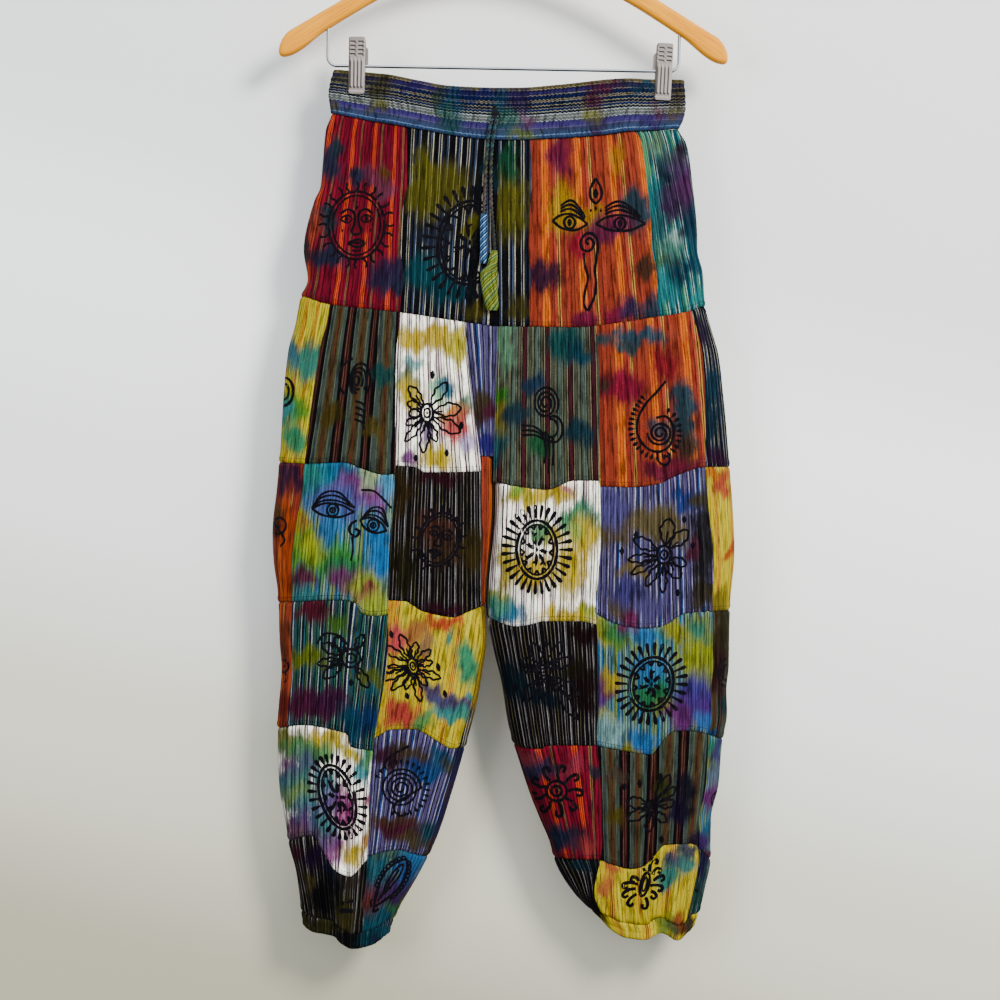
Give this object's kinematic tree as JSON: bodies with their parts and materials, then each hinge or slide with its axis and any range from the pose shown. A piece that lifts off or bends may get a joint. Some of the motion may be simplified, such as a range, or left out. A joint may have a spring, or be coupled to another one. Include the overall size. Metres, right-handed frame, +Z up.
{
  "type": "harem trousers on a wooden clip hanger",
  "caption": "Patchwork tie-dyed harem trousers with a shirred waistband, drawstring and elastic cuffs, clipped flat to the bar of a wooden hanger.",
  "frame": {"origin": "the seat of the hanger's hook, at the inside top of its curve, where the rail goes", "axes": "+Z up along the hanging garment, +X to the right as seen from the front, the front faces -Y"},
  "size_m": [0.464, 0.0643, 1.0738],
  "materials": {
    "red": "wine and scarlet striped crinkle cotton, block printed",
    "black": "black crinkle cotton with cream and slate yarns, block printed",
    "orange": "rust and orange striped crinkle cotton",
    "teal": "teal striped crinkle cotton with dye clouds",
    "lemon": "yellow crinkle cotton with brown pin stripes",
    "brown": "olive and brown broad striped crinkle cotton",
    "white": "white crinkle cotton with mauve pin stripes and dye clouds",
    "violet": "blue violet striped crinkle cotton",
    "sky": "sky blue and green tie-dyed crinkle cotton",
    "green": "dark green and brown striped crinkle cotton",
    "band": "shirred elastic band of cross-striped, tie-dyed cotton",
    "cord": "teal dyed cotton cord",
    "wood": "clear lacquered pale hardwood",
    "steel": "bright plated steel"
  },
  "bodies": {
    "root": {"yoke_red": "red", "yoke_black_left": "black", "yoke_black_right": "black", "yoke_orange": "orange", "yoke_teal": "teal", "yoke_back_right": "violet", "yoke_back_left": "green", "seat_side_left": "lemon", "seat_brown": "brown", "seat_white": "white", "seat_violet": "violet", "seat_green": "green", "seat_orange": "orange", "seat_side_right": "teal", "seat_back_right": "red", "seat_back_left": "brown", "thigh_left_side": "orange", "thigh_left_outer": "sky", "thigh_left_inner": "black", "thigh_left_back": "orange", "thigh_right_back": "green", "thigh_right_inner": "white", "thigh_right_outer": "violet", "thigh_right_side": "lemon", "knee_left_side": "orange", "knee_left_outer": "teal", "knee_left_inner": "lemon", "knee_left_back": "black", "knee_right_back": "white", "knee_right_inner": "black", "knee_right_outer": "sky", "knee_right_side": "brown", "calf_left_side": "white", "calf_left_outer": "white", "calf_left_inner": "violet", "calf_left_back": "brown", "calf_right_back": "orange", "calf_right_inner": "red", "calf_right_outer": "brown", "calf_right_side": "sky", "ankle_left_side": "violet", "ankle_left_outer": "black", "ankle_left_inner": "teal", "ankle_left_back": "lemon", "ankle_right_back": "violet", "ankle_right_inner": "black", "ankle_right_outer": "lemon", "ankle_right_side": "teal", "waistband": "band", "cuff_left": "black", "cuff_right": "lemon", "drawstring_short": "cord", "drawstring_long": "cord", "tip_short": "violet", "tip_long": "lemon", "hanger_body": "wood", "hanger_hook": "steel", "hanger_bar": "steel", "clip_left": "steel", "clip_right": "steel"}
  },
  "joints": []
}
